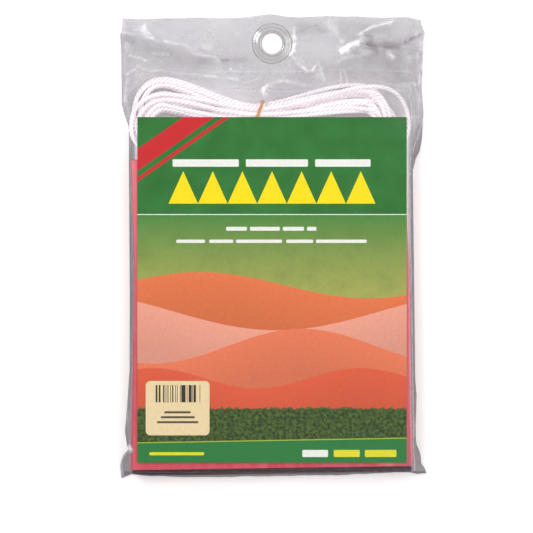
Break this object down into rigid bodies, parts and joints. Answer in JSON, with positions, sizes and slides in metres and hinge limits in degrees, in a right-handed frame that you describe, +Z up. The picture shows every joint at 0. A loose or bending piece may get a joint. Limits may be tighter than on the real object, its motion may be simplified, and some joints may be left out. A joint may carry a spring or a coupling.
{
  "type": "emergency tube tent in hanging pouch",
  "caption": "Flat clear hanging pouch with a printed card, a folded coral film tent and a banded hank of white guy line; the header with its hang hole folds up.",
  "frame": {"origin": "centre of the pouch's outline, on the surface that its back lies on", "axes": "+Y towards the hang hole, +X to the right of the printed front, +Z up out of the front"},
  "size_m": [0.211, 0.319, 0.0175],
  "materials": {
    "clear_film": "clear, creased",
    "clear_plastic": "clear, moulded",
    "tent_film": "semi-gloss film",
    "card": "printed and coated",
    "leaflet": "matt",
    "cord": "twisted, soft sheen",
    "band": "matt"
  },
  "bodies": {
    "pouch": {"bag_front_film": "clear_film", "bag_back_film": "clear_film", "tent_film": "tent_film", "cord_hank": "cord", "rubber_band": "band"},
    "header": {"header_front_film": "clear_film", "header_back_film": "clear_film", "eyelet_front": "clear_plastic", "eyelet_back": "clear_plastic"},
    "card": {"insert_card": "card"},
    "leaflet": {"instruction_leaflet": "leaflet"}
  },
  "joints": [
    {"name": "header_fold", "type": "hinge", "parent": "pouch", "child": "header", "pos_m": [0, 0.1225, 0.002], "axis": [1, 0, 0], "range_deg": [0, 105]},
    {"name": "card_slide", "type": "slide", "parent": "pouch", "child": "card", "axis": [0, 1, 0], "range_m": [-0.004, 0.015]},
    {"name": "leaflet_slide", "type": "slide", "parent": "pouch", "child": "leaflet", "axis": [0, 1, 0], "range_m": [-0.01, 0.01]}
  ]
}
